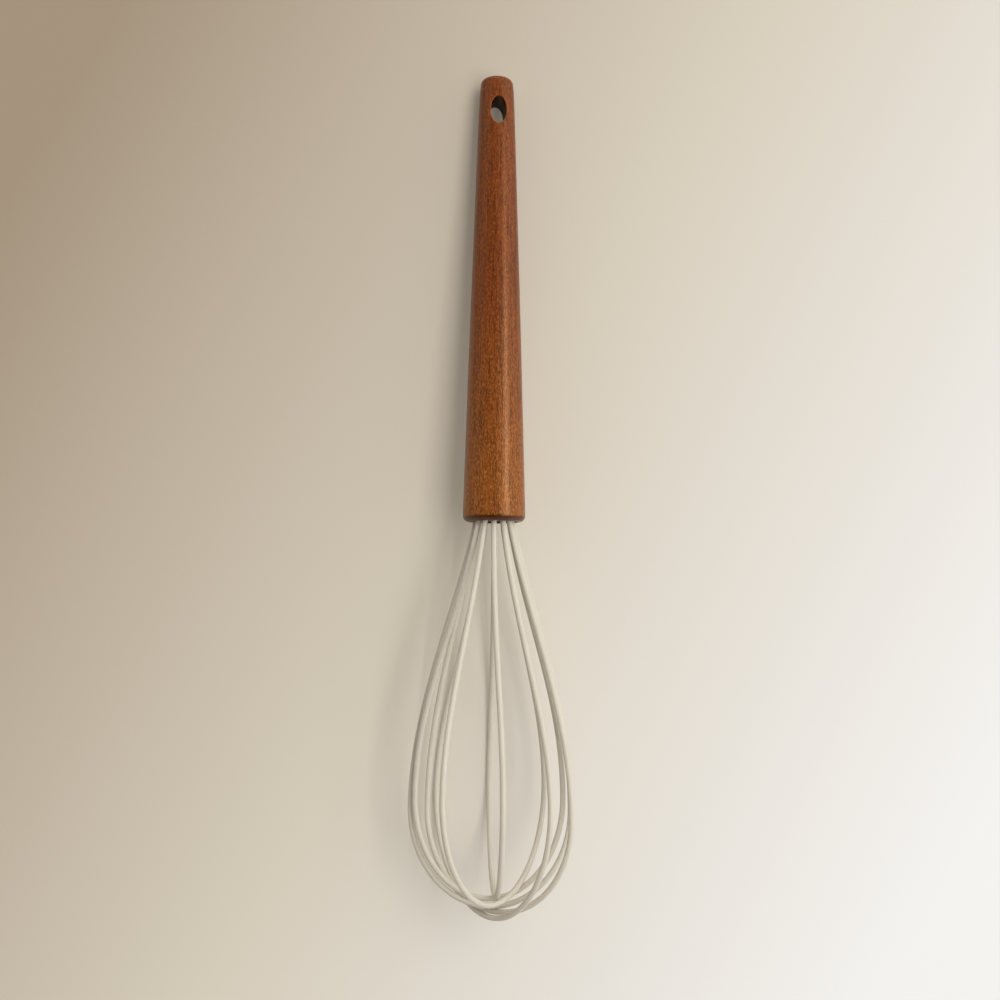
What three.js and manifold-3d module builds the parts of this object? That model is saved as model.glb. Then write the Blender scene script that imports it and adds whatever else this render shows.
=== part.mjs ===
// A balloon whisk: a turned wooden handle holds six loops of spring wire, each coated in silicone.
// Millimetres. The whisk is built upright along its own Y axis, with the handle's wire end at y = 0,
// the hanging end at +Y and the balloon at -Y, and is then laid down on the plane z = 0.

import * as THREE from "three";
import { mergeVertices } from "three/addons/utils/BufferGeometryUtils.js";
import { ConvexHull } from "three/addons/math/ConvexHull.js";
import Module from "manifold-3d";

const wasm = await Module();
wasm.setup();

// Handle
const HANDLE_LENGTH = 161.6;
const WIRE_END_RADIUS = 11.1;
const WIRE_END_CORNER = 2.2;
const HANG_END_RADIUS = 5.9;
const HANG_END_CORNER = 2.4;
// Radius of the taper between its ends, at shares of the way from one end's corner to the other's,
// so that the taper stays one smooth sweep when the handle's length changes
const TAPER = [
  { along: 0.2, radius: 10.2 },
  { along: 0.45, radius: 9.03 },
  { along: 0.7, radius: 7.74 },
  { along: 0.9, radius: 6.7 },
  { along: 0.975, radius: 6.22 },
];
const TAPER_STEPS = 18;
const CORNER_STEPS = 5;

// Oval hanging hole, measured from the hanging end to its centre
const HOLE_WIDTH = 5.7;
const HOLE_LENGTH = 10.1;
const HOLE_FROM_END = 13.2;
const HOLE_TURN = THREE.MathUtils.degToRad(7);
const HOLE_CURVE_STEPS = 10;

// Bore in the wire end, with the plug at its mouth and the resin behind it.
// The rim is the plug's wall outside its holes. The cap is the resin past the wires' ends.
const PLUG_RECESS = 0.4;
const PLUG_THICKNESS = 5;
const PLUG_EDGE = 0.4;
const PLUG_RIM = 0.675;
const RESIN_CAP = 3.4;
const FIT = 0.15;
const TURNED_SIDES = 24;

// Wire, its silicone coat and the ring of twelve places where the legs leave the handle.
// The grip is the length of bare wire in the resin.
const CORE_DIAMETER = 1.2;
const SLEEVE_DIAMETER = 1.95;
const SLEEVE_FIT = 0.12;
const EXIT_RING_RADIUS = 6.35;
const CORE_GRIP = 6.45;
const CORE_SIDES = 6;
const SLEEVE_SIDES = 8;
const BORED_SIDES = 10;

// Balloon: six loops, no two bent quite alike, that cross over each other at the crown.
// leaves: angle of the loop's plane at the handle. belly: its angle where the loop is widest.
// half_width: half the loop's width there. crown: height of its round end.
// right, front: how far the loop stands off the axis at the belly, in wire diameters.
// layers: how many wires its end lies above the outermost loop's, so that thicker wires still pass.
const BALLOON_LENGTH = 138.9;
const CROSSING_GAP = 0.12;
const LOOPS = [
  { leaves: -30, belly: 0.2, half_width: 26, crown: 34.5, right: -0.6, front: -1.6, layers: 3.06 },
  { leaves: 90, belly: 84.9, half_width: 28, crown: 34.6, right: 0.62, front: 0.41, layers: 3.98 },
  { leaves: -60, belly: -53, half_width: 28.8, crown: 37.5, right: 0.65, front: 4.85, layers: 3.41 },
  { leaves: 0, belly: 6.2, half_width: 28.25, crown: 33.5, right: -0.38, front: -1.32, layers: 1.825 },
  { leaves: 30, belly: 32.4, half_width: 30, crown: 33.4, right: 0.87, front: -1.435, layers: 0.91 },
  { leaves: 60, belly: 48.4, half_width: 30.4, crown: 39.5, right: -0.24, front: -1.35, layers: 0 },
];
const LEG_STEPS = 7;
const CROWN_STEPS = 24;

// Materials
const WOOD = new THREE.MeshStandardMaterial({ color: 0x7a431d, roughness: 0.55, metalness: 0 });
const SILICONE = new THREE.MeshStandardMaterial({ color: 0xd8cdb9, roughness: 0.5, metalness: 0 });
const STEEL = new THREE.MeshStandardMaterial({ color: 0xb8b8b6, roughness: 0.35, metalness: 1 });
const PLUG_PLASTIC = new THREE.MeshStandardMaterial({ color: 0x2c1a10, roughness: 0.7, metalness: 0 });
const RESIN = new THREE.MeshStandardMaterial({ color: 0xc9a868, roughness: 0.4, metalness: 0 });

const CORE_RADIUS = CORE_DIAMETER / 2;
const SLEEVE_RADIUS = SLEEVE_DIAMETER / 2;
const PLUG_RADIUS = EXIT_RING_RADIUS + SLEEVE_RADIUS + FIT + PLUG_RIM;
const BORE_RADIUS = PLUG_RADIUS + FIT;
const PLUG_TOP = PLUG_RECESS + PLUG_THICKNESS;
const SLEEVE_SET_IN = PLUG_TOP - FIT;
const RESIN_BOTTOM = PLUG_TOP + FIT;
const CORE_SET_IN = RESIN_BOTTOM + CORE_GRIP;
const RESIN_TOP = CORE_SET_IN + FIT + RESIN_CAP;
const BORE_DEPTH = RESIN_TOP + FIT;
// Vertices nearer than this are one
const MERGE_DISTANCE = 1e-4;

// A closed geometry as a solid that can be cut
function solidOf(geometry) {
  const bare = geometry.clone();
  bare.deleteAttribute("normal");
  bare.deleteAttribute("uv");
  const merged = mergeVertices(bare, MERGE_DISTANCE);
  return new wasm.Manifold(
    new wasm.Mesh({
      numProp: 3,
      vertProperties: merged.attributes.position.array,
      triVerts: new Uint32Array(merged.index.array),
    }),
  );
}

// The geometry of a solid after it was cut
function geometryOf(solid) {
  const mesh = solid.getMesh();
  return new THREE.BufferGeometry()
    .setAttribute("position", new THREE.BufferAttribute(mesh.vertProperties, 3))
    .setIndex(new THREE.BufferAttribute(mesh.triVerts, 1));
}

function cut(geometry, cutters) {
  const solid = cutters.reduce((left, cutter) => left.subtract(solidOf(cutter)), solidOf(geometry));
  return geometryOf(solid);
}

function turned(profile) {
  return new THREE.LatheGeometry(profile, TURNED_SIDES);
}

// Points of a round corner from one angle to another, in radians from +X
function cornerArc(centre, radius, from, to) {
  return new THREE.EllipseCurve(centre.x, centre.y, radius, radius, from, to).getPoints(CORNER_STEPS);
}

// A regular outline whose flat sides stand at least the given radius from its centre
function outlineRound(radius, sides) {
  return outlineWithin(radius / Math.cos(Math.PI / sides), sides);
}

// A regular outline whose corners lie on the given radius
function outlineWithin(radius, sides) {
  const points = [];
  for (let i = 0; i < sides; i++) {
    const angle = (2 * Math.PI * i) / sides;
    points.push(new THREE.Vector2(radius * Math.cos(angle), radius * Math.sin(angle)));
  }
  return points;
}

// The path of one loop: in from one leg's end, down to the belly, round the crown and up the other leg.
// Its parameter counts rings of the tube, so that the crown has closer rings than the straight legs.
class LoopPath extends THREE.Curve {
  constructor(index, setIn) {
    super();
    const loop = LOOPS[index];
    const reach = BALLOON_LENGTH - SLEEVE_RADIUS - loop.layers * (SLEEVE_DIAMETER + CROSSING_GAP);
    this.leaves = THREE.MathUtils.degToRad(loop.leaves);
    this.belly = THREE.MathUtils.degToRad(loop.belly);
    this.halfWidth = loop.half_width;
    this.crown = loop.crown;
    this.bellyDepth = reach - loop.crown;
    this.offAxis = new THREE.Vector3(loop.right, 0, loop.front).multiplyScalar(SLEEVE_DIAMETER);
    this.setIn = setIn;
    this.steps = 2 * (1 + LEG_STEPS) + CROWN_STEPS;
  }

  getUtoTmapping(u) {
    return u;
  }

  getPoint(t, target = new THREE.Vector3()) {
    const half = this.steps / 2;
    const side = t * this.steps < half ? -1 : 1;
    const ring = Math.min(t, 1 - t) * this.steps;
    const { across, depth } = this.station(ring);
    const bent = THREE.MathUtils.smoothstep(depth, 0, this.bellyDepth);
    const angle = THREE.MathUtils.lerp(this.leaves, this.belly, bent);
    const out = side * across;
    target.set(out * Math.cos(angle), -depth, out * Math.sin(angle));
    return target.addScaledVector(this.offAxis, bent);
  }

  // Distance from the axis and depth below the handle's wire end, by rings from the leg's end.
  // A leg leaves the handle at the slope that it has inside it, and is parallel to the axis at the belly.
  station(ring) {
    const spread = (this.halfWidth - EXIT_RING_RADIUS) / this.bellyDepth;
    if (ring <= 1) {
      const depth = -this.setIn * (1 - ring);
      return { across: EXIT_RING_RADIUS + spread * depth, depth };
    }
    if (ring <= 1 + LEG_STEPS) {
      const left = 1 - (ring - 1) / LEG_STEPS;
      const bend = 2 * left ** 2 - left ** 3;
      const across = this.halfWidth - (this.halfWidth - EXIT_RING_RADIUS) * bend;
      return { across, depth: this.bellyDepth * (1 - left) };
    }
    const round = ((ring - 1 - LEG_STEPS) / CROWN_STEPS) * Math.PI;
    return {
      across: this.halfWidth * Math.cos(round),
      depth: this.bellyDepth + this.crown * Math.sin(round),
    };
  }
}

function swept(outline, hole, path) {
  const shape = new THREE.Shape(outline);
  if (hole) {
    shape.holes.push(new THREE.Path(hole));
  }
  return new THREE.ExtrudeGeometry(shape, { extrudePath: path, steps: path.steps });
}

function coreLoop(index) {
  return swept(outlineWithin(CORE_RADIUS, CORE_SIDES), null, new LoopPath(index, CORE_SET_IN));
}

function sleeveLoop(index) {
  const bore = outlineWithin(CORE_RADIUS + SLEEVE_FIT, CORE_SIDES);
  return swept(outlineWithin(SLEEVE_RADIUS, SLEEVE_SIDES), bore, new LoopPath(index, SLEEVE_SET_IN));
}

// Straight round cutters along all the legs, from one depth in the handle up to another
function legCutters(radius, from, to) {
  const outline = outlineRound(radius, BORED_SIDES);
  const cutters = [];
  LOOPS.forEach((loop, index) => {
    const path = new LoopPath(index, to);
    [0, 1].forEach((end) => {
      const inner = path.getPoint(end);
      const exit = path.getPoint(end === 0 ? 1 / path.steps : 1 - 1 / path.steps);
      const outer = exit.clone().lerp(inner, from / to);
      cutters.push(
        new THREE.ExtrudeGeometry(new THREE.Shape(outline), {
          extrudePath: new THREE.LineCurve3(outer, inner),
          steps: 1,
        }),
      );
    });
  });
  return cutters;
}

function handle() {
  const flat = WIRE_END_RADIUS - WIRE_END_CORNER;
  const mouth = Math.asin(Math.max(0, BORE_RADIUS - flat) / WIRE_END_CORNER);
  const wireCorner = new THREE.Vector2(flat, WIRE_END_CORNER);
  const hangCorner = new THREE.Vector2(HANG_END_RADIUS - HANG_END_CORNER, HANDLE_LENGTH - HANG_END_CORNER);
  const taper = new THREE.SplineCurve([
    new THREE.Vector2(WIRE_END_RADIUS, wireCorner.y),
    ...TAPER.map((place) => {
      return new THREE.Vector2(place.radius, THREE.MathUtils.lerp(wireCorner.y, hangCorner.y, place.along));
    }),
    new THREE.Vector2(HANG_END_RADIUS, hangCorner.y),
  ]);
  const profile = [
    new THREE.Vector2(0, BORE_DEPTH),
    new THREE.Vector2(BORE_RADIUS, BORE_DEPTH),
    ...(BORE_RADIUS < flat ? [new THREE.Vector2(BORE_RADIUS, 0)] : []),
    ...cornerArc(wireCorner, WIRE_END_CORNER, mouth - Math.PI / 2, 0),
    ...taper.getPoints(TAPER_STEPS).slice(1, -1),
    ...cornerArc(hangCorner, HANG_END_CORNER, 0, Math.PI / 2),
    new THREE.Vector2(0, HANDLE_LENGTH),
  ];
  const oval = new THREE.Shape().absellipse(0, 0, HOLE_WIDTH / 2, HOLE_LENGTH / 2, 0, 2 * Math.PI);
  const through = 2 * WIRE_END_RADIUS;
  const hole = new THREE.ExtrudeGeometry(oval, {
    depth: through,
    bevelEnabled: false,
    curveSegments: HOLE_CURVE_STEPS,
  });
  hole.translate(0, 0, -through / 2);
  hole.rotateY(HOLE_TURN);
  hole.translate(0, HANDLE_LENGTH - HOLE_FROM_END, 0);
  return cut(turned(profile), [hole]);
}

function wirePlug() {
  const profile = [
    new THREE.Vector2(0, PLUG_RECESS),
    new THREE.Vector2(PLUG_RADIUS - PLUG_EDGE, PLUG_RECESS),
    new THREE.Vector2(PLUG_RADIUS, PLUG_RECESS + PLUG_EDGE),
    new THREE.Vector2(PLUG_RADIUS, PLUG_TOP),
    new THREE.Vector2(0, PLUG_TOP),
  ];
  return cut(turned(profile), legCutters(SLEEVE_RADIUS + FIT, 0, PLUG_TOP + FIT));
}

function resinSlug() {
  const profile = [
    new THREE.Vector2(0, RESIN_BOTTOM),
    new THREE.Vector2(PLUG_RADIUS, RESIN_BOTTOM),
    new THREE.Vector2(PLUG_RADIUS, RESIN_TOP),
    new THREE.Vector2(0, RESIN_TOP),
  ];
  return cut(turned(profile), legCutters(CORE_RADIUS + FIT, PLUG_TOP, CORE_SET_IN + FIT));
}

// The way the whisk lies at rest: on a face of its hull that its balance point stands over, and of
// those the one that faces most to its back, -Z. The balance point is close to the wire end.
function layDown(whisk) {
  const points = [];
  whisk.children.forEach((mesh) => {
    const position = mesh.geometry.getAttribute("position");
    for (let i = 0; i < position.count; i++) {
      points.push(new THREE.Vector3().fromBufferAttribute(position, i));
    }
  });
  const balance = new THREE.Vector3();
  const back = new THREE.Vector3(0, 0, -1);
  const resting = new ConvexHull().setFromPoints(points).faces.filter((face) => {
    const corners = [face.edge.head(), face.edge.next.head(), face.edge.prev.head()];
    const triangle = new THREE.Triangle(...corners.map((corner) => corner.point));
    const under = balance.clone().addScaledVector(face.normal, -face.distanceToPoint(balance));
    return triangle.containsPoint(under);
  });
  resting.sort((one, other) => other.normal.dot(back) - one.normal.dot(back));
  const up = resting[0].normal.clone().negate();
  const right = new THREE.Vector3(0, 1, 0).cross(up).normalize();
  const along = up.clone().cross(right);
  whisk.quaternion.setFromRotationMatrix(new THREE.Matrix4().makeBasis(right, along, up)).invert();
  whisk.updateMatrixWorld(true);
  const box = new THREE.Box3().setFromObject(whisk, true);
  const middle = box.getCenter(new THREE.Vector3());
  whisk.position.set(-middle.x, -middle.y, -box.min.z);
}

const whisk = new THREE.Group();

function addPiece(name, geometry, material) {
  const mesh = new THREE.Mesh(geometry, material);
  mesh.name = name;
  whisk.add(mesh);
}

addPiece("handle", handle(), WOOD);
addPiece("wire_plug", wirePlug(), PLUG_PLASTIC);
addPiece("resin_slug", resinSlug(), RESIN);
LOOPS.forEach((loop, index) => {
  addPiece(`wire_core_${index + 1}`, coreLoop(index), STEEL);
  addPiece(`silicone_sleeve_${index + 1}`, sleeveLoop(index), SILICONE);
});
layDown(whisk);

const part = new THREE.Group();
part.add(whisk);

export default part;
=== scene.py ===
# A balloon whisk that lies flat: a turned hardwood handle and six loops of silicone-coated spring wire.
# Every piece is made in the whisk's own axes, with the handle's wire end at the origin, the hanging end
# along +Y and the balloon along -Y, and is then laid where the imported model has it. Metres.

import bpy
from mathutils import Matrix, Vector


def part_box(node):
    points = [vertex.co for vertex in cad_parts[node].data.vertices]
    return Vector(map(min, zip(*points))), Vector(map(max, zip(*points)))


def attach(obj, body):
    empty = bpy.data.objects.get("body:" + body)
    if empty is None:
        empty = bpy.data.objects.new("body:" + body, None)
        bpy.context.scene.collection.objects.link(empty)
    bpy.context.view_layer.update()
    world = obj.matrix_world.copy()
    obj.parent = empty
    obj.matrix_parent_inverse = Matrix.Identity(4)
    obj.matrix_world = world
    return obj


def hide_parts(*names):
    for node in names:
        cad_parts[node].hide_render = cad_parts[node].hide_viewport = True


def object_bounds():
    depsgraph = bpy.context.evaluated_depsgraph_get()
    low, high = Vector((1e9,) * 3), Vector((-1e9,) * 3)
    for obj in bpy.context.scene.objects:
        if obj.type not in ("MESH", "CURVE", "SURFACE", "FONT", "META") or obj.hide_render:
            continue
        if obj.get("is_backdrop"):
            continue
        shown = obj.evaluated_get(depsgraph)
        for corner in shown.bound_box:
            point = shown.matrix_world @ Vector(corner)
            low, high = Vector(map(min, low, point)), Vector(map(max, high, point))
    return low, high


bl_info = {
    "name": "Balloon Whisk",
    "version": (1, 0, 0),
    "blender": (4, 5, 0),
    "location": "View3D > Sidebar > Whisk",
    "description": "Makes a balloon whisk with a wooden handle and silicone-coated wire loops",
    "category": "Add Mesh",
}

import math
from typing import NamedTuple

import bmesh
import bpy
import numpy as np
from bpy.props import FloatProperty, FloatVectorProperty, PointerProperty
from mathutils import Matrix, Vector

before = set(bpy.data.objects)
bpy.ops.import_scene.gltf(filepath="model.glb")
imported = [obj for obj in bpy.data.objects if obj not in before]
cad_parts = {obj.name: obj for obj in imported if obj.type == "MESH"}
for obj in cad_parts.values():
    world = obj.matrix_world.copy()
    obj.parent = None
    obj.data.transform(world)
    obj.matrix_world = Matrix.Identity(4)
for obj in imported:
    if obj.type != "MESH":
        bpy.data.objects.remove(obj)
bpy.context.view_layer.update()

MM = 0.001

# How the whisk lies at rest: its tilt along its length, its roll about it, and where the wire end is
REST_TILT = math.radians(-5.0796)
REST_ROLL = math.radians(-5.5964)
WIRE_END = Vector((0.5052, -11.3459, 19.965)) * MM
REST = Matrix.Rotation(REST_TILT, 4, "X") @ Matrix.Rotation(REST_ROLL, 4, "Y")
PLACE = Matrix.Translation(WIRE_END) @ REST
# A piece that is further than this from the node it stands for is in the wrong place
PLACE_TOLERANCE = 0.6 * MM

# The handle's taper: shares of the way from one end's corner to the other's, and its radius there in mm
TAPER = ((0.2, 10.2), (0.45, 9.03), (0.7, 7.74), (0.9, 6.7), (0.975, 6.22))
TAPER_STEPS = 40

# The handle's mesh: sides round it, the step between its rings, and the patch round the hanging hole
HANDLE_SIDES = 128
RING_STEP = 0.75 * MM
CORNER_STEPS = 10
PATCH_SIDES = 18
PATCH_HALF_LENGTH = 8 * MM
PATCH_RINGS = 10
EDGE_RINGS = 5
WALL_RINGS = 8

# The wires' meshes: steps down a leg and round a crown, and sides round a wire
LEG_STEPS = 90
CROWN_STEPS = 96
WIRE_SIDES = 24
# A coat's inner and outer walls are joined where their points lie closer than this
WELD_DISTANCE = 0.001 * MM
# A drill for the plug starts outside the handle by this share of its depth
DRILL_START = 0.2

# Clouds in the wood, drawn out along the grain: their size across it and along it in millimetres
WOOD_FIGURES = {"band": (4.5, 80), "streak": (1.3, 42), "fibre": (0.45, 10), "fleck": (0.36, 1.1)}
# Size of the cell round each pore. Real pores are about 0.15 mm wide, drawn at twice that to show.
WOOD_PORE = (0.75, 3.2)
# Distances from the wire end in millimetres between which the dark ring of end grain and painted shade on
# the corner fades out, and the wood deepens
WOOD_END_GRAIN_AND_SHADE = (1.5, 2.1)
WOOD_DEEPENS = (10, 85)
# Sizes of the other patterns in millimetres, for the scratches across the whisk and along it
SILICONE_CLOUD = 7
SILICONE_SPARK = 0.25
STEEL_SCRATCH = (0.1, 6)
PLASTIC_GRAIN = 0.3
RESIN_BUBBLE = 0.8
# The floor's painted shade runs mostly from left to right, and partly from the hanging end to the balloon
FLOOR_WAY = Vector((0.878, -0.479, 0))


class Loop(NamedTuple):
    """One wire loop: the angle of its plane at the handle and at the belly in degrees, half its width and
    its crown's height in millimetres, how far it stands to the right and to the front of the axis in wire
    diameters, and how many wires its end lies above the outermost loop's."""

    leaves: float
    belly: float
    half_width: float
    crown: float
    right: float
    front: float
    layers: float


LOOPS = (
    Loop(leaves=-30, belly=0.2, half_width=26, crown=34.5, right=-0.6, front=-1.6, layers=3.06),
    Loop(leaves=90, belly=84.9, half_width=28, crown=34.6, right=0.62, front=0.41, layers=3.98),
    Loop(leaves=-60, belly=-53, half_width=28.8, crown=37.5, right=0.65, front=4.85, layers=3.41),
    Loop(leaves=0, belly=6.2, half_width=28.25, crown=33.5, right=-0.38, front=-1.32, layers=1.825),
    Loop(leaves=30, belly=32.4, half_width=30, crown=33.4, right=0.87, front=-1.435, layers=0.91),
    Loop(leaves=60, belly=48.4, half_width=30.4, crown=39.5, right=-0.24, front=-1.35, layers=0),
)


def linear(colour):
    """An sRGB hex colour as linear red, green and blue."""
    shares = [int(colour[i : i + 2], 16) / 255 for i in (1, 3, 5)]
    return [c / 12.92 if c <= 0.04045 else ((c + 0.055) / 1.055) ** 2.4 for c in shares]


def length_property(name, description, millimetres):
    """A size that the user may change."""
    return FloatProperty(name=name, description=description, default=millimetres * MM, min=0, unit="LENGTH")


def angle_property(name, description, degrees):
    """An angle that the user may change."""
    return FloatProperty(name=name, description=description, default=math.radians(degrees), subtype="ANGLE")


def share_property(name, description, share):
    """A share of the whole that the user may change."""
    return FloatProperty(name=name, description=description, default=share, min=0, max=1, subtype="FACTOR")


def colour_property(name, description, colour):
    """A colour that the user may change, written as sRGB hex."""
    return FloatVectorProperty(
        name=name, description=description, default=linear(colour), min=0, max=1, subtype="COLOR"
    )


class WhiskHandle(bpy.types.PropertyGroup):
    """Sizes and colours of the turned handle."""

    length: length_property("Length", "From the wire end to the hanging end", 161.6)
    wire_end_radius: length_property("Wire End Radius", "Radius at the thick end, above its corner", 11.1)
    wire_end_corner: length_property("Wire End Corner", "Radius of the thick end's rounded corner", 2.2)
    hang_end_radius: length_property("Hang End Radius", "Radius at the thin end, below its corner", 5.9)
    hang_end_corner: length_property("Hang End Corner", "Radius of the thin end's rounded corner", 2.4)
    hole_width: length_property("Hole Width", "Width of the oval hanging hole", 5.7)
    hole_length: length_property("Hole Length", "Length of the oval hanging hole", 10.1)
    hole_from_end: length_property("Hole From End", "From the thin end to the hole's centre", 13.2)
    hole_edge: length_property("Hole Edge", "Radius of the hole's eased edge", 0.45)
    hole_turn: angle_property("Hole Turn", "Turn of the hole about the handle", 7)
    bore_radius: length_property("Bore Radius", "Radius of the bore that holds the plug", 8.3)
    bore_depth: length_property("Bore Depth", "Depth of the bore in the wire end", 15.7)
    bore_edge: length_property("Bore Edge", "Size of the bore's eased mouth", 0.3)
    wood_low: colour_property("Wood, Wire End", "Ground colour, plain near the wires", "#88480e")
    wood_high: colour_property("Wood, Hanging End", "Tint that deepens it towards the hole", "#d8b796")
    wood_dark: colour_property("Dark Streaks", "Colour of the dark growth streaks", "#502006")
    wood_light: colour_property("Light Streaks", "Colour of the light growth streaks", "#95501a")
    wood_fleck_and_edge_highlight: colour_property("Flecks", "Colour of the golden flecks and of the painted highlight on the hole's edge", "#b5743a")
    # Pores, and the dark ring at the wire end, which is end grain and painted shade on the corner
    wood_pore_and_end_shade: colour_property("Pores", "Colour of the open pores and of the end grain's ring with its painted shade", "#2b140a")
    # Inside the bore and the hole the wood is darker cut wood with painted shade
    wood_bored_and_shaded: colour_property("Bored Wood and Painted Shade", "Colour inside the holes", "#4a1d04")
    wood_sheen: colour_property("Sheen", "Tint of the oil's sheen", "#ffd2a4")


class WhiskWires(bpy.types.PropertyGroup):
    """Sizes and colours of the wires, their coats, the plug and the resin."""

    core_diameter: length_property("Wire Diameter", "Diameter of the spring wire", 1.2)
    coat_diameter: length_property("Coat Diameter", "Outside diameter of the silicone coat", 1.95)
    coat_fit: length_property("Coat Fit", "Room between the wire and its coat", 0.12)
    balloon_length: length_property("Balloon Length", "From the handle to the outermost loop's end", 138.9)
    crossing_gap: length_property("Crossing Gap", "Room between coats that cross at the crown", 0.12)
    exit_ring: length_property("Exit Ring Radius", "Radius of the ring where the legs come out", 6.35)
    core_set_in: length_property("Wire Set In", "How far the wires reach into the handle", 12)
    coat_set_in: length_property("Coat Set In", "How far the coats reach into the handle", 5.25)
    plug_radius: length_property("Plug Radius", "Radius of the plug that spreads the legs", 8.15)
    plug_recess: length_property("Plug Recess", "How far the plug's face lies in the bore", 0.4)
    plug_thickness: length_property("Plug Thickness", "Thickness of the plug", 5)
    plug_edge: length_property("Plug Edge", "Size of the plug's eased edge", 0.4)
    plug_fit: length_property("Plug Fit", "Room round a coat in the plug's hole", 0.15)
    silicone: colour_property("Silicone", "Colour of the coats", "#d4cbba")
    silicone_deep: colour_property("Silicone, Deeper", "Colour of the coats' faint cloudiness", "#cbc2b1")
    steel: colour_property("Steel", "Colour of the spring wire", "#b9b8b4")
    plug: colour_property("Plug", "Colour of the plug", "#2c1b11")
    resin: colour_property("Resin", "Colour of the potting resin", "#b98f4b")


class WhiskStage(bpy.types.PropertyGroup):
    """The floor, the light and the view."""

    # The floor's colours carry painted shade in one corner and painted light in the other
    floor_shaded: colour_property("Floor, Shaded", "Colour of the floor's shaded corner", "#a89680")
    floor_middle: colour_property("Floor, Middle", "Colour of the floor's middle", "#d9cfbd")
    floor_lit: colour_property("Floor, Lit", "Colour of the floor's lit corner", "#f5f3f0")
    floor_plain: share_property("Floor, Plain", "Share of the floor that shows no shadow", 0.18)
    floor_span: length_property("Floor Span", "Width of floor over which its shade changes", 367)
    sky: share_property("Sky", "Share of the light from all round", 0.47)
    key: share_property("Key", "Share of the light from the high lamp", 0.53)
    side: share_property("Side", "Level of the low lamp, which makes only sheen", 0.25)
    view_tilt: angle_property("View Tilt", "Tilt of the view along the whisk", 4.7)
    view_roll: angle_property("View Roll", "Turn of the view on the picture", 0.37)
    view_place: FloatVectorProperty(
        name="View Place",
        description="Where the camera stands from the wire end, on its own axes",
        default=(2.13 * MM, 7.81 * MM, 479.25 * MM),
        subtype="TRANSLATION",
        unit="LENGTH",
    )
    lens: FloatProperty(name="Lens", description="Focal length in millimetres", default=48.6, min=1)


def add(tree, kind, inputs=(), **settings):
    """Adds a node, with its settings, and values or links for its inputs."""
    node = tree.nodes.new(kind)
    for name, value in settings.items():
        setattr(node, name, value)
    for key, given in dict(inputs).items():
        for value in given if isinstance(given, list) else [given]:
            if isinstance(value, bpy.types.NodeSocket):
                tree.links.new(value, node.inputs[key])
            else:
                node.inputs[key].default_value = value
    return node


def new_finish(name):
    """A new material, with its node tree and its surface node."""
    finish = bpy.data.materials.new(name)
    finish.use_nodes = True
    tree = finish.node_tree
    return finish, tree, tree.nodes["Principled BSDF"]


def opaque(colour):
    """A colour with full cover, for a node."""
    return (*colour, 1)


def per_size(across, along=None):
    """How often a pattern of this size repeats in a millimetre, across the whisk and along it."""
    return 1 / across, 1 / (along or across), 1 / across


def own_axes(tree):
    """Places on a piece in the whisk's own axes, in millimetres."""
    place = add(tree, "ShaderNodeTexCoord").outputs["Object"]
    laid = {"Location": WIRE_END, "Rotation": REST.to_euler(), "Scale": (MM,) * 3}
    own = add(tree, "ShaderNodeMapping", {"Vector": place, **laid}, vector_type="TEXTURE")
    return own.outputs["Vector"]


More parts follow.
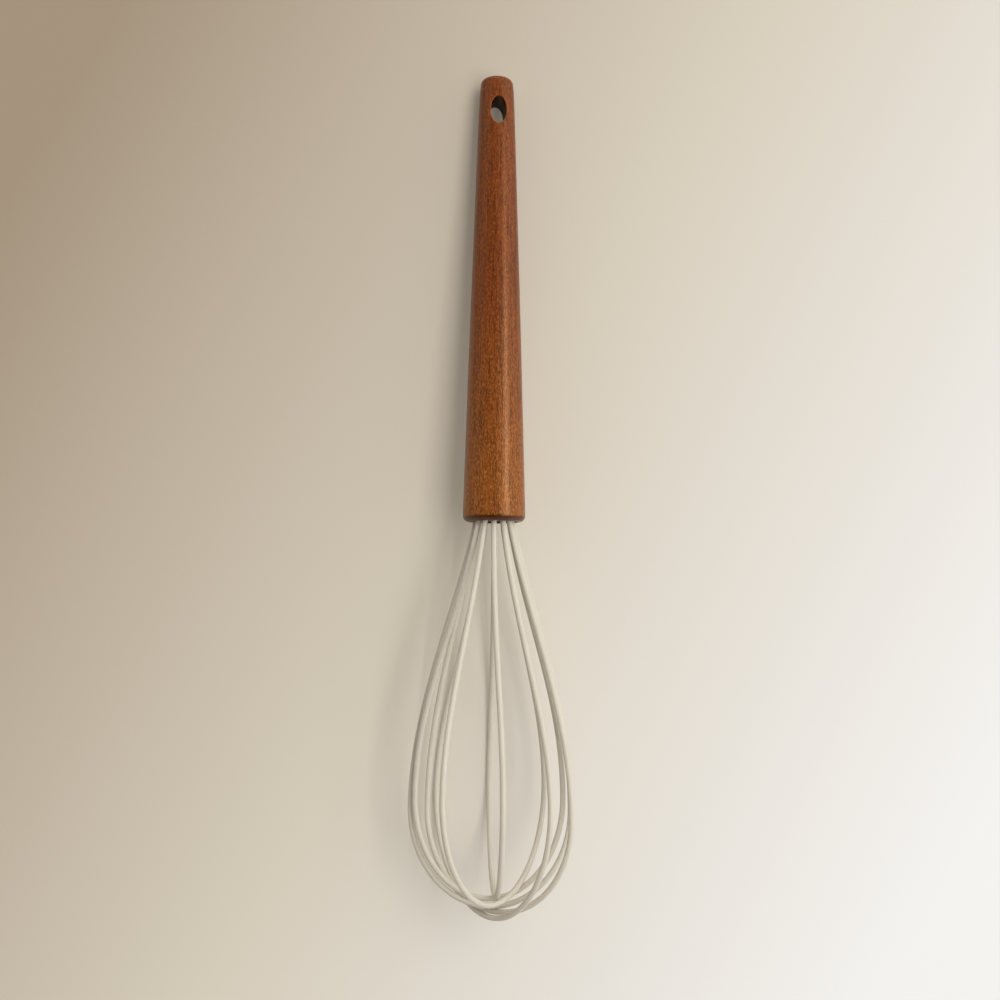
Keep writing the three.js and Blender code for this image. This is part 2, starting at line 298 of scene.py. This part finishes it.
def turned_oiled_hardwood(handle):
    """Tropical hardwood, turned, sanded and oiled: straight reddish streaks, fine fibres, short golden
    flecks and dark pores along the grain, deeper towards the hanging end, with a dark ring at the wires
    that is end grain and painted shade, a painted highlight on the hole's eased edge, painted shade with
    darker cut wood inside the bore and the hole, and the satin sheen of oil that has soaked in."""
    finish, tree, surface = new_finish("turned oiled hardwood")
    own = own_axes(tree)
    along = add(tree, "ShaderNodeSeparateXYZ", {"Vector": own}).outputs["Y"]
    bored_and_shaded = add(tree, "ShaderNodeAttribute", attribute_name="bored_and_shaded").outputs["Fac"]
    edge_highlight = add(tree, "ShaderNodeAttribute", attribute_name="edge_highlight").outputs["Fac"]

    figures = {}
    for name, size in WOOD_FIGURES.items():
        place = add(tree, "ShaderNodeVectorMath", {0: own, 1: per_size(*size)}, operation="MULTIPLY")
        cloud = add(tree, "ShaderNodeTexNoise", {"Vector": place.outputs[0], "Scale": 1, "Detail": 2})
        figures[name] = cloud.outputs[0]
    place = add(tree, "ShaderNodeVectorMath", {0: own, 1: per_size(*WOOD_PORE)}, operation="MULTIPLY")
    cells = add(tree, "ShaderNodeTexVoronoi", {"Vector": place.outputs[0], "Scale": 1})
    pore = cells.outputs["Distance"]

    # Each layer: what it follows, the two values between which its cover changes, its cover at each of
    # them, and its colour
    layers = (
        (figures["streak"], 0.48, 0.68, 0, 0.6, handle.wood_dark),
        (figures["band"], 0.45, 0.66, 0, 0.4, handle.wood_light),
        (figures["fibre"], 0.5, 0.64, 0, 0.8, handle.wood_light),
        (figures["fibre"], 0.48, 0.34, 0, 0.8, handle.wood_dark),
        (figures["fleck"], 0.51, 0.66, 0, 0.62, handle.wood_fleck_and_edge_highlight),
        (figures["fleck"], 0.49, 0.34, 0, 0.52, handle.wood_dark),
        (pore, 0.12, 0.34, 0.35, 0, handle.wood_pore_and_end_shade),
        # The dark ring on the wire end's corner: end grain and painted shade
        (along, *WOOD_END_GRAIN_AND_SHADE, 0.85, 0, handle.wood_pore_and_end_shade),
        # A painted highlight on the hole's eased edge
        (edge_highlight, 0, 1, 0, 0.7, handle.wood_fleck_and_edge_highlight),
        # Inside the bore and the hole: darker cut wood and painted shade
        (bored_and_shaded, 0, 1, 0, 1, handle.wood_bored_and_shaded),
    )
    colour = opaque(handle.wood_low)
    for value, start, end, cover_start, cover_end, over in layers:
        limits = {"From Min": start, "From Max": end, "To Min": cover_start, "To Max": cover_end}
        cover = add(tree, "ShaderNodeMapRange", {"Value": value, **limits})
        laid = {0: cover.outputs[0], 6: colour, 7: opaque(over)}
        colour = add(tree, "ShaderNodeMix", laid, data_type="RGBA").outputs[2]
    near, far = WOOD_DEEPENS
    deeper = add(tree, "ShaderNodeMapRange", {"Value": along, "From Min": near, "From Max": far})
    tinted = {0: deeper.outputs[0], 6: colour, 7: opaque(handle.wood_high)}
    colour = add(tree, "ShaderNodeMix", tinted, data_type="RGBA", blend_type="MULTIPLY").outputs[2]
    tree.links.new(colour, surface.inputs["Base Color"])

    limits = {"From Min": 0.3, "From Max": 0.7, "To Min": 0.27, "To Max": 0.35}
    rough = add(tree, "ShaderNodeMapRange", {"Value": figures["fibre"], **limits})
    tree.links.new(rough.outputs[0], surface.inputs["Roughness"])
    surface.inputs["Specular IOR Level"].default_value = 0.6
    surface.inputs["Specular Tint"].default_value = opaque(handle.wood_sheen)
    relief = add(tree, "ShaderNodeMath", {0: pore, 1: figures["fibre"]}, operation="ADD")
    raised = {"Height": relief.outputs[0], "Strength": 0.25, "Distance": 0.05 * MM}
    bump = add(tree, "ShaderNodeBump", raised)
    tree.links.new(bump.outputs[0], surface.inputs["Normal"])
    return finish


def moulded_silicone(wires):
    """Cream food silicone, moulded over the wire: opaque, with faint clouds in its colour, the fine spark
    texture of its mould and a soft bloom."""
    finish, tree, surface = new_finish("moulded cream silicone")
    own = own_axes(tree)
    place = add(tree, "ShaderNodeVectorMath", {0: own, 1: per_size(SILICONE_CLOUD)}, operation="MULTIPLY")
    cloud = add(tree, "ShaderNodeTexNoise", {"Vector": place.outputs[0], "Scale": 1, "Detail": 3})
    clouded = {0: cloud.outputs[0], 6: opaque(wires.silicone), 7: opaque(wires.silicone_deep)}
    colour = add(tree, "ShaderNodeMix", clouded, data_type="RGBA")
    tree.links.new(colour.outputs[2], surface.inputs["Base Color"])
    rough = add(tree, "ShaderNodeMapRange", {"Value": cloud.outputs[0], "To Min": 0.42, "To Max": 0.58})
    tree.links.new(rough.outputs[0], surface.inputs["Roughness"])
    place = add(tree, "ShaderNodeVectorMath", {0: own, 1: per_size(SILICONE_SPARK)}, operation="MULTIPLY")
    spark = add(tree, "ShaderNodeTexNoise", {"Vector": place.outputs[0], "Scale": 1, "Detail": 1})
    raised = {"Height": spark.outputs[0], "Strength": 0.15, "Distance": 0.02 * MM}
    bump = add(tree, "ShaderNodeBump", raised)
    tree.links.new(bump.outputs[0], surface.inputs["Normal"])
    surface.inputs["IOR"].default_value = 1.41
    return finish


def drawn_stainless(wires):
    """Stainless spring wire, drawn through a die: bright, with fine scratches."""
    finish, tree, surface = new_finish("drawn stainless spring wire")
    own = own_axes(tree)
    place = add(tree, "ShaderNodeVectorMath", {0: own, 1: per_size(*STEEL_SCRATCH)}, operation="MULTIPLY")
    scratch = add(tree, "ShaderNodeTexNoise", {"Vector": place.outputs[0], "Scale": 1, "Detail": 2})
    rough = add(tree, "ShaderNodeMapRange", {"Value": scratch.outputs[0], "To Min": 0.22, "To Max": 0.4})
    tree.links.new(rough.outputs[0], surface.inputs["Roughness"])
    surface.inputs["Base Color"].default_value = opaque(wires.steel)
    surface.inputs["Metallic"].default_value = 1
    return finish


def moulded_brown_plastic(wires):
    """Dark brown polypropylene, moulded with a fine matt grain."""
    finish, tree, surface = new_finish("moulded brown polypropylene")
    own = own_axes(tree)
    place = add(tree, "ShaderNodeVectorMath", {0: own, 1: per_size(PLASTIC_GRAIN)}, operation="MULTIPLY")
    grain = add(tree, "ShaderNodeTexNoise", {"Vector": place.outputs[0], "Scale": 1, "Detail": 2})
    rough = add(tree, "ShaderNodeMapRange", {"Value": grain.outputs[0], "To Min": 0.55, "To Max": 0.75})
    tree.links.new(rough.outputs[0], surface.inputs["Roughness"])
    raised = {"Height": grain.outputs[0], "Strength": 0.3, "Distance": 0.03 * MM}
    bump = add(tree, "ShaderNodeBump", raised)
    tree.links.new(bump.outputs[0], surface.inputs["Normal"])
    surface.inputs["Base Color"].default_value = opaque(wires.plug)
    surface.inputs["IOR"].default_value = 1.49
    return finish


def poured_amber_resin(wires):
    """Epoxy potting resin, poured and set: amber and glossy, with small cloudy bubbles."""
    finish, tree, surface = new_finish("poured amber epoxy")
    own = own_axes(tree)
    place = add(tree, "ShaderNodeVectorMath", {0: own, 1: per_size(RESIN_BUBBLE)}, operation="MULTIPLY")
    bubble = add(tree, "ShaderNodeTexNoise", {"Vector": place.outputs[0], "Scale": 1, "Detail": 2})
    limits = {"From Min": 0.3, "From Max": 0.7, "To Min": 0.8, "To Max": 1.1}
    shade = add(tree, "ShaderNodeMapRange", {"Value": bubble.outputs[0], **limits})
    shaded = {0: tuple(wires.resin), "Scale": shade.outputs[0]}
    colour = add(tree, "ShaderNodeVectorMath", shaded, operation="SCALE")
    tree.links.new(colour.outputs[0], surface.inputs["Base Color"])
    surface.inputs["Roughness"].default_value = 0.25
    surface.inputs["IOR"].default_value = 1.55
    return finish


def painted_board(stage):
    """A plain matt board whose colour goes from painted shade in a warm corner to painted light in a pale
    one.
    """
    finish, tree, surface = new_finish("matt painted board")
    place = add(tree, "ShaderNodeTexCoord").outputs["Object"]
    slope = FLOOR_WAY / stage.floor_span
    run = add(tree, "ShaderNodeVectorMath", {0: place, 1: slope}, operation="DOT_PRODUCT")
    # Each layer: the two places on that run, in floor spans from the middle, between which it comes in, and
    # its colour. The last one makes the board pale again far beyond the corner of painted shade.
    layers = (
        (-0.55, 0, stage.floor_middle),
        (0, 0.62, stage.floor_lit),
        (-0.7, -1.7, stage.floor_middle),
    )
    colour = opaque(stage.floor_shaded)
    for start, end, over in layers:
        limits = {"From Min": start, "From Max": end}
        cover = add(tree, "ShaderNodeMapRange", {"Value": run.outputs["Value"], **limits})
        laid = {0: cover.outputs[0], 6: colour, 7: opaque(over)}
        colour = add(tree, "ShaderNodeMix", laid, data_type="RGBA").outputs[2]
    tree.links.new(colour, surface.inputs["Base Color"])
    surface.inputs["Roughness"].default_value = 0.9
    surface.inputs["Specular IOR Level"].default_value = 0
    # A share of the floor shows to the camera at its own colour, which keeps the whisk's shadow pale
    ray = add(tree, "ShaderNodeLightPath").outputs["Is Camera Ray"]
    share = add(tree, "ShaderNodeMath", {0: ray, 1: stage.floor_plain}, operation="MULTIPLY")
    plain = add(tree, "ShaderNodeEmission", {"Color": colour, "Strength": 1})
    both = {0: share.outputs[0], 1: surface.outputs[0], 2: plain.outputs[0]}
    mixed = add(tree, "ShaderNodeMixShader", both)
    tree.links.new(mixed.outputs[0], tree.nodes["Material Output"].inputs["Surface"])
    return finish


def new_piece(name, mesh, finish=None):
    """A new object in the scene at the origin, with its place in its mesh."""
    piece = bpy.data.objects.new(name, mesh)
    bpy.context.scene.collection.objects.link(piece)
    if finish:
        mesh.materials.append(finish)
    return piece


def bake(piece):
    """Gives a piece the plain mesh that its modifiers make."""
    depsgraph = bpy.context.evaluated_depsgraph_get()
    mesh = bpy.data.meshes.new_from_object(piece.evaluated_get(depsgraph))
    piece.modifiers.clear()
    piece.data = mesh


def stand_for(piece, node):
    """Lets a finished piece take a CAD node's place, if it lies where the node is."""
    places = np.array([vertex.co for vertex in piece.data.vertices])
    low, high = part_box(node)
    off = max(np.abs(places.min(0) - low).max(), np.abs(places.max(0) - high).max())
    if off > PLACE_TOLERANCE:
        raise RuntimeError(f"{piece.name} is {off / MM:.2f} mm off {node}")
    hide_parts(node)
    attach(piece, "root")


def taper_curve(handle):
    """Heights and radii of close points on the smooth curve through the handle's taper."""
    foot, top = handle.wire_end_corner, handle.length - handle.hang_end_corner
    knots = [Vector((foot, handle.wire_end_radius))]
    knots += [Vector((foot + (top - foot) * along, radius * MM)) for along, radius in TAPER]
    knots += [Vector((top, handle.hang_end_radius))]
    points = []
    for i in range(len(knots) - 1):
        start, end = knots[i], knots[i + 1]
        leaving = (end - knots[max(i - 1, 0)]) / 2
        arriving = (knots[min(i + 2, len(knots) - 1)] - start) / 2
        for t in np.arange(TAPER_STEPS) / TAPER_STEPS:
            cubic = (2 * start - 2 * end + leaving + arriving) * t**3
            square = (3 * end - 3 * start - 2 * leaving - arriving) * t**2
            points.append(cubic + square + leaving * t + start)
    points.append(knots[-1])
    return np.array(points).T


def handle_profile(handle, radius_at):
    """Radius and height of the handle's rings, from the bottom of the bore, out over the wire end's corner,
    up the taper and over the hanging end's corner."""
    bore, edge = handle.bore_radius, handle.bore_edge
    wire_corner, hang_corner = handle.wire_end_corner, handle.hang_end_corner
    flat = handle.wire_end_radius - wire_corner
    top = handle.length - hang_corner
    tip = handle.hang_end_radius - hang_corner
    quarter = np.linspace(0, math.pi / 2, CORNER_STEPS)
    rings = [(bore, height) for height in np.linspace(handle.bore_depth, edge, WALL_RINGS)]
    for turn in np.linspace(0, math.pi / 2, EDGE_RINGS)[1:]:
        rings.append((bore + edge * (1 - math.cos(turn)), edge * (1 - math.sin(turn))))
    for turn in quarter:
        rings.append((flat + wire_corner * math.sin(turn), wire_corner * (1 - math.cos(turn))))
    for height in np.linspace(wire_corner, top, round((top - wire_corner) / RING_STEP))[1:]:
        rings.append((radius_at(height), height))
    for turn in quarter[1:]:
        rings.append((tip + hang_corner * math.cos(turn), top + hang_corner * math.sin(turn)))
    return rings


def round_ring(built, radius, height):
    """A ring of new vertices round the whisk's axis."""
    turns = [2 * math.pi * i / HANDLE_SIDES for i in range(HANDLE_SIDES)]
    return [built.verts.new((radius * math.sin(turn), height, radius * math.cos(turn))) for turn in turns]


def join_rings(built, one, other):
    """Faces between two closed rings of vertices."""
    for i in range(len(one)):
        j = (i + 1) % len(one)
        built.faces.new((one[i], one[j], other[j], other[i]))


def hole_point(handle, angle, grown):
    """A point on the hanging hole's oval with a margin: its place across the handle, and its height."""
    across = (handle.hole_width / 2 + grown) * math.cos(angle)
    height = handle.length - handle.hole_from_end + (handle.hole_length / 2 + grown) * math.sin(angle)
    return across, height


def hole_side(built, edge_highlight, handle, radius_at, border, facing):
    """Closes one side of the handle from the patch's border to the hanging hole, with the hole's eased
    edge, and gives the ring at the bottom of that edge."""
    middle = handle.length - handle.hole_from_end
    width = max(vertex.co.x for vertex in border)
    angles = [math.atan2((v.co.y - middle) / PATCH_HALF_LENGTH, v.co.x / width) for v in border]
    starts = [(v.co.x, v.co.y) for v in border]

    def on_face(across, height, sunk):
        return across, height, facing * (math.sqrt(radius_at(height) ** 2 - across**2) - sunk)

    last = border
    for share in np.linspace(0, 1, PATCH_RINGS)[1:]:
        ring = []
        for start, angle in zip(starts, angles):
            end = hole_point(handle, angle, handle.hole_edge)
            across = start[0] + (end[0] - start[0]) * share
            height = start[1] + (end[1] - start[1]) * share
            ring.append(built.verts.new(on_face(across, height, 0)))
        join_rings(built, last, ring)
        last = ring
    for turn in np.linspace(0, math.pi / 2, EDGE_RINGS)[1:]:
        grown = handle.hole_edge * (1 - math.sin(turn))
        sunk = handle.hole_edge * (1 - math.cos(turn))
        ring = [built.verts.new(on_face(*hole_point(handle, angle, grown), sunk)) for angle in angles]
        # The eased edge carries a painted highlight, strongest halfway round it
        for vertex in ring:
            vertex[edge_highlight] = math.sin(2 * turn)
        join_rings(built, last, ring)
        last = ring
    return last


def handle_mesh(handle):
    """The turned handle, with its bore, and its oval hanging hole with an eased edge on both sides."""
    heights, radii = taper_curve(handle)

    def radius_at(height):
        return float(np.interp(height, heights, radii))

    rings = handle_profile(handle, radius_at)
    built = bmesh.new()
    # A mark for the darker cut wood and painted shade inside the bore and the hole
    bored_and_shaded = built.verts.layers.float.new("bored_and_shaded")
    # A mark for the painted highlight on the hole's eased edge
    edge_highlight = built.verts.layers.float.new("edge_highlight")
    grid = [round_ring(built, radius, height) for radius, height in rings]
    for ring in grid[:WALL_RINGS]:
        for vertex in ring:
            vertex[bored_and_shaded] = 1

    # The rings and sides of the patch that is left open round the hole, in front and behind
    middle = handle.length - handle.hole_from_end
    in_patch = [j for j, ring in enumerate(rings) if abs(ring[1] - middle) <= PATCH_HALF_LENGTH]
    low, high = in_patch[0], in_patch[-1]
    half_turn = HANDLE_SIDES // 2

    def is_open(j, i):
        side = min(i, HANDLE_SIDES - 1 - i)
        near_front = side < PATCH_SIDES
        near_back = half_turn - 1 - side < PATCH_SIDES
        return low <= j < high and (near_front or near_back)

    for j in range(len(grid) - 1):
        for i in range(HANDLE_SIDES):
            k = (i + 1) % HANDLE_SIDES
            if not is_open(j, i):
                built.faces.new((grid[j][i], grid[j][k], grid[j + 1][k], grid[j + 1][i]))
    for ring, height in ((grid[0], handle.bore_depth), (grid[-1], handle.length)):
        pole = built.verts.new((0, height, 0))
        for i in range(HANDLE_SIDES):
            built.faces.new((ring[i], ring[(i + 1) % HANDLE_SIDES], pole))
        pole[bored_and_shaded] = 1 if ring is grid[0] else 0

    # The patch's border in order round the hole, as rings and sides of the grid
    border = [(low, i) for i in range(-PATCH_SIDES, PATCH_SIDES)]
    border += [(j, PATCH_SIDES) for j in range(low, high)]
    border += [(high, i) for i in range(PATCH_SIDES, -PATCH_SIDES, -1)]
    border += [(j, -PATCH_SIDES) for j in range(high, low, -1)]
    front_border = [grid[j][i % HANDLE_SIDES] for j, i in border]
    back_border = [grid[j][(half_turn - i) % HANDLE_SIDES] for j, i in border]
    front = hole_side(built, edge_highlight, handle, radius_at, front_border, 1)
    back = hole_side(built, edge_highlight, handle, radius_at, back_border, -1)
    # The hole's wall between the two sides is marked for darker cut wood and painted shade
    last = front
    for share in np.linspace(0, 1, WALL_RINGS)[1:-1]:
        ring = [built.verts.new(one.co.lerp(other.co, share)) for one, other in zip(front, back)]
        for vertex in ring:
            vertex[bored_and_shaded] = 1
        join_rings(built, last, ring)
        last = ring
    join_rings(built, last, back)

    bmesh.ops.recalc_face_normals(built, faces=built.faces)
    mesh = bpy.data.meshes.new("handle")
    built.to_mesh(mesh)
    built.free()
    mesh.shade_smooth()
    mesh.transform(PLACE @ Matrix.Rotation(handle.hole_turn, 4, "Y"))
    return mesh


def loop_points(loop, wires, set_in):
    """The path of one loop where it lies at rest: from one leg's end in the handle down to the belly, round
    the crown and up the other leg. In the handle a leg runs straight on, as it leaves."""
    coat, exit_ring = wires.coat_diameter, wires.exit_ring
    reach = wires.balloon_length - coat / 2 - loop.layers * (coat + wires.crossing_gap)
    half, belly = loop.half_width * MM, reach - loop.crown * MM
    spread = (half - exit_ring) / belly
    left = 1 - np.arange(LEG_STEPS) / LEG_STEPS
    turn = np.linspace(0, math.pi / 2, CROWN_STEPS // 2 + 1)
    leg = half - (half - exit_ring) * (2 * left**2 - left**3)
    across = np.concatenate(([exit_ring - spread * set_in], leg, half * np.cos(turn)))
    depth = np.concatenate(([-set_in], belly * (1 - left), belly + loop.crown * MM * np.sin(turn)))
    across = np.concatenate((-across, across[-2::-1]))
    depth = np.concatenate((depth, depth[-2::-1]))
    share = np.clip(depth / belly, 0, 1)
    bent = share**2 * (3 - 2 * share)
    angle = np.radians(loop.leaves + (loop.belly - loop.leaves) * bent)
    right = across * np.cos(angle) + loop.right * coat * bent
    front = across * np.sin(angle) + loop.front * coat * bent
    return [PLACE @ Vector(point) for point in zip(right, -depth, front)]


def line_mesh(name, lines):
    """A mesh of bare edges, one chain for each list of points."""
    points, edges = [], []
    for line in lines:
        edges += [(len(points) + i, len(points) + i + 1) for i in range(len(line) - 1)]
        points += line
    mesh = bpy.data.meshes.new(name)
    mesh.from_pydata(points, edges, [])
    return mesh


def tube_tree(name, hollow):
    """Nodes that sweep a round section along a path, solid with closed ends or hollow with a wall."""
    tree = bpy.data.node_groups.new(name, "GeometryNodeTree")
    inputs = {"Path": "Geometry", "Radius": "Float", "Wall": "Float", "Sides": "Int", "Finish": "Material"}
    for socket, kind in inputs.items():
        tree.interface.new_socket(socket, in_out="INPUT", socket_type=f"NodeSocket{kind}")
    tree.interface.new_socket("Tube", in_out="OUTPUT", socket_type="NodeSocketGeometry")
    given = add(tree, "NodeGroupInput").outputs
    path = add(tree, "GeometryNodeMeshToCurve", {"Mesh": given["Path"]})
    sized = {"Resolution": given["Sides"], "Radius": given["Radius"]}
    section = add(tree, "GeometryNodeCurvePrimitiveCircle", sized)
    swept = {"Curve": path.outputs[0], "Profile Curve": section.outputs[0], "Fill Caps": not hollow}
    made = add(tree, "GeometryNodeCurveToMesh", swept).outputs[0]
    if hollow:
        inward = add(tree, "ShaderNodeMath", {0: given["Wall"], 1: -1}, operation="MULTIPLY")
        offset = {"Mesh": made, "Offset Scale": inward.outputs[0], "Individual": False}
        lining = add(tree, "GeometryNodeExtrudeMesh", offset, mode="FACES")
        facing_in = add(tree, "GeometryNodeFlipFaces", {"Mesh": lining.outputs["Mesh"]})
        joined = add(tree, "GeometryNodeJoinGeometry", {"Geometry": [made, facing_in.outputs[0]]})
        welded = {"Geometry": joined.outputs[0], "Distance": WELD_DISTANCE}
        made = add(tree, "GeometryNodeMergeByDistance", welded).outputs[0]
    smooth = add(tree, "GeometryNodeSetShadeSmooth", {0: made, "Shade Smooth": True})
    whole = add(tree, "GeometryNodeRealizeInstances", {"Geometry": smooth.outputs[0]})
    coated = {"Geometry": whole.outputs[0], "Material": given["Finish"]}
    finished = add(tree, "GeometryNodeSetMaterial", coated)
    add(tree, "NodeGroupOutput", {"Tube": finished.outputs[0]})
    return tree


def swept_piece(name, lines, tree, radius, wall, finish):
    """A piece made by sweeping a round section along its lines, as a plain mesh."""
    piece = new_piece(name, line_mesh(name, lines))
    sweep = piece.modifiers.new("Sweep", "NODES")
    sweep.node_group = tree
    values = {"Radius": radius, "Wall": wall, "Sides": WIRE_SIDES, "Finish": finish}
    for socket in tree.interface.items_tree:
        if socket.name in values:
            sweep[socket.identifier] = values[socket.name]
    bake(piece)
    return piece


def plug_blank(wires):
    """The plug before its holes are made: a disc with an eased face edge."""
    top = wires.plug_recess + wires.plug_thickness
    inner = wires.plug_radius - wires.plug_edge
    rings = [Vector((inner, wires.plug_recess))]
    for turn in np.linspace(0, math.pi / 2, EDGE_RINGS)[1:]:
        radius = inner + wires.plug_edge * math.sin(turn)
        rings.append(Vector((radius, wires.plug_recess + wires.plug_edge * (1 - math.cos(turn)))))
    rings.append(Vector((wires.plug_radius, top)))
    built = bmesh.new()
    loops = [round_ring(built, radius, height) for radius, height in rings]
    for one, other in zip(loops, loops[1:]):
        join_rings(built, one, other)
    built.faces.new(loops[0])
    built.faces.new(loops[-1])
    bmesh.ops.recalc_face_normals(built, faces=built.faces)
    mesh = bpy.data.meshes.new("plug")
    built.to_mesh(mesh)
    built.free()
    mesh.transform(PLACE)
    return mesh


class WHISK_OT_handle(bpy.types.Operator):
    """Turn the wooden handle, with its bore and its hanging hole"""

    bl_idname = "whisk.handle"
    bl_label = "Turn Handle"

    def execute(self, context):
        handle = context.scene.whisk_handle
        piece = new_piece("turned_handle", handle_mesh(handle), turned_oiled_hardwood(handle))
        stand_for(piece, "handle")
        return {"FINISHED"}


class WHISK_OT_plug(bpy.types.Operator):
    """Mould the plug that spreads the legs, and pour the resin behind it"""

    bl_idname = "whisk.plug"
    bl_label = "Set Plug and Resin"

    def execute(self, context):
        wires = context.scene.whisk_wires
        finish = moulded_brown_plastic(wires)
        piece = new_piece("leg_plug", plug_blank(wires), finish)
        legs = []
        depth = wires.plug_recess + 2 * wires.plug_thickness
        for loop in LOOPS:
            points = loop_points(loop, wires, depth)
            legs += [points[1::-1], points[-2:]]
        outward = [[line[0] + (line[0] - line[1]) * DRILL_START, line[1]] for line in legs]
        radius = wires.coat_diameter / 2 + wires.plug_fit
        drills = swept_piece("leg_drills", outward, tube_tree("Leg Drills", False), radius, 0, finish)
        holes = piece.modifiers.new("Holes", "BOOLEAN")
        holes.operation = "DIFFERENCE"
        holes.solver = "EXACT"
        holes.object = drills
        bake(piece)
        piece.data.shade_flat()
        bpy.data.objects.remove(drills)
        stand_for(piece, "wire_plug")
        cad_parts["resin_slug"].material_slots[0].material = poured_amber_resin(wires)
        return {"FINISHED"}


class WHISK_OT_cores(bpy.types.Operator):
    """Bend the six loops of spring wire"""

    bl_idname = "whisk.cores"
    bl_label = "Bend Wires"

    def execute(self, context):
        wires = context.scene.whisk_wires
        finish = drawn_stainless(wires)
        tree = tube_tree("Spring Wire", False)
        for number, loop in enumerate(LOOPS, 1):
            path = loop_points(loop, wires, wires.core_set_in)
            piece = swept_piece(f"spring_wire_{number}", [path], tree, wires.core_diameter / 2, 0, finish)
            stand_for(piece, f"wire_core_{number}")
        return {"FINISHED"}


class WHISK_OT_coats(bpy.types.Operator):
    """Mould the silicone coats over the six loops"""

    bl_idname = "whisk.coats"
    bl_label = "Coat Wires"

    def execute(self, context):
        wires = context.scene.whisk_wires
        finish = moulded_silicone(wires)
        tree = tube_tree("Silicone Coat", True)
        radius = wires.coat_diameter / 2
        wall = radius - wires.core_diameter / 2 - wires.coat_fit
        for number, loop in enumerate(LOOPS, 1):
            path = loop_points(loop, wires, wires.coat_set_in)
            piece = swept_piece(f"silicone_coat_{number}", [path], tree, radius, wall, finish)
            stand_for(piece, f"silicone_sleeve_{number}")
        return {"FINISHED"}


class WHISK_OT_stage(bpy.types.Operator):
    """Lay the floor, set the soft lights and place the camera"""

    bl_idname = "whisk.stage"
    bl_label = "Set Stage"

    FLOOR_HALF = 4.0
    LAMP_DISTANCE = 2.6
    # How the sky's brightness changes to the right, towards the hanging end and upwards, and its mean
    # brightness at the horizon, which makes its mean over a level floor 1
    SKY_SLOPE = (0.6, 0.9, -1.8)
    SKY_LEVEL = 2.2

    def lamp(self, name, level, elevation, along, width, length):
        """A soft box to the whisk's right, long with the whisk and moved along it, with the power that
        lights a level floor to about the given share of white."""
        light = bpy.data.lights.new(name, "AREA")
        light.shape = "RECTANGLE"
        light.size = width
        light.size_y = length
        reach = length / 2 / self.LAMP_DISTANCE
        far_ends = (reach / (1 + reach**2) + math.atan(reach)) / (2 * reach)
        light.energy = level * (math.pi * self.LAMP_DISTANCE) ** 2 / (math.sin(elevation) * far_ends)
        lamp = bpy.data.objects.new(name, light)
        lamp.location = Vector((math.cos(elevation), 0, math.sin(elevation))) * self.LAMP_DISTANCE
        lamp.location.y = along
        lamp.rotation_euler = (0, math.pi / 2 - elevation, 0)
        bpy.context.scene.collection.objects.link(lamp)
        return lamp

    def execute(self, context):
        stage = context.scene.whisk_stage
        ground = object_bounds()[0].z
        half = self.FLOOR_HALF
        mesh = bpy.data.meshes.new("floor")
        ways = ((-1, -1), (1, -1), (1, 1), (-1, 1))
        corners = [(half * right, half * along, ground) for right, along in ways]
        mesh.from_pydata(corners, [], [(0, 1, 2, 3)])
        new_piece("floor", mesh, painted_board(stage))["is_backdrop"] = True

        # The key lamp makes the light and the shadow, and the side lamp only the sheen along the handle
        key = self.lamp("key", stage.key, elevation=math.radians(69), along=0.2, width=1.3, length=3.2)
        key.visible_glossy = False
        side = self.lamp("side", stage.side, elevation=math.radians(47), along=0.1, width=0.35, length=2)
        side.visible_diffuse = False
        world = bpy.data.worlds.new("sky")
        world.use_nodes = True
        tree = world.node_tree
        way = add(tree, "ShaderNodeTexCoord").outputs["Generated"]
        slope = add(tree, "ShaderNodeVectorMath", {0: way, 1: self.SKY_SLOPE}, operation="DOT_PRODUCT")
        level = add(tree, "ShaderNodeMath", {0: slope.outputs["Value"], 1: self.SKY_LEVEL}, operation="ADD")
        strength = add(tree, "ShaderNodeMath", {0: level.outputs[0], 1: stage.sky}, operation="MULTIPLY")
        sky = tree.nodes["Background"]
        sky.inputs["Color"].default_value = (1, 1, 1, 1)
        tree.links.new(strength.outputs[0], sky.inputs["Strength"])
        context.scene.world = world

        camera = bpy.data.cameras.new("camera")
        camera.lens = stage.lens
        camera.sensor_width = 36
        camera.clip_start = 10 * MM
        viewer = bpy.data.objects.new("camera", camera)
        turn = Matrix.Rotation(stage.view_tilt, 4, "X") @ Matrix.Rotation(stage.view_roll, 4, "Z")
        viewer.matrix_world = PLACE @ turn @ Matrix.Translation(stage.view_place)
        context.scene.collection.objects.link(viewer)
        context.scene.camera = viewer
        context.scene.view_settings.view_transform = "Standard"
        return {"FINISHED"}


class WHISK_PT_sidebar(bpy.types.Panel):
    """The steps that make the whisk"""

    bl_label = "Balloon Whisk"
    bl_idname = "WHISK_PT_sidebar"
    bl_space_type = "VIEW_3D"
    bl_region_type = "UI"
    bl_category = "Whisk"

    def draw(self, context):
        for step in STEPS:
            self.layout.operator(step.bl_idname)


STEPS = (WHISK_OT_handle, WHISK_OT_plug, WHISK_OT_cores, WHISK_OT_coats, WHISK_OT_stage)
SETTINGS = {"whisk_handle": WhiskHandle, "whisk_wires": WhiskWires, "whisk_stage": WhiskStage}


def register():
    for kind in (*SETTINGS.values(), *STEPS, WHISK_PT_sidebar):
        bpy.utils.register_class(kind)
    for name, kind in SETTINGS.items():
        setattr(bpy.types.Scene, name, PointerProperty(type=kind))


def unregister():
    for name in SETTINGS:
        delattr(bpy.types.Scene, name)
    for kind in (WHISK_PT_sidebar, *reversed(STEPS), *SETTINGS.values()):
        bpy.utils.unregister_class(kind)


def main():
    register()
    bpy.ops.whisk.handle()
    bpy.ops.whisk.plug()
    bpy.ops.whisk.cores()
    bpy.ops.whisk.coats()
    bpy.ops.whisk.stage()


if __name__ == "__main__":
    main()
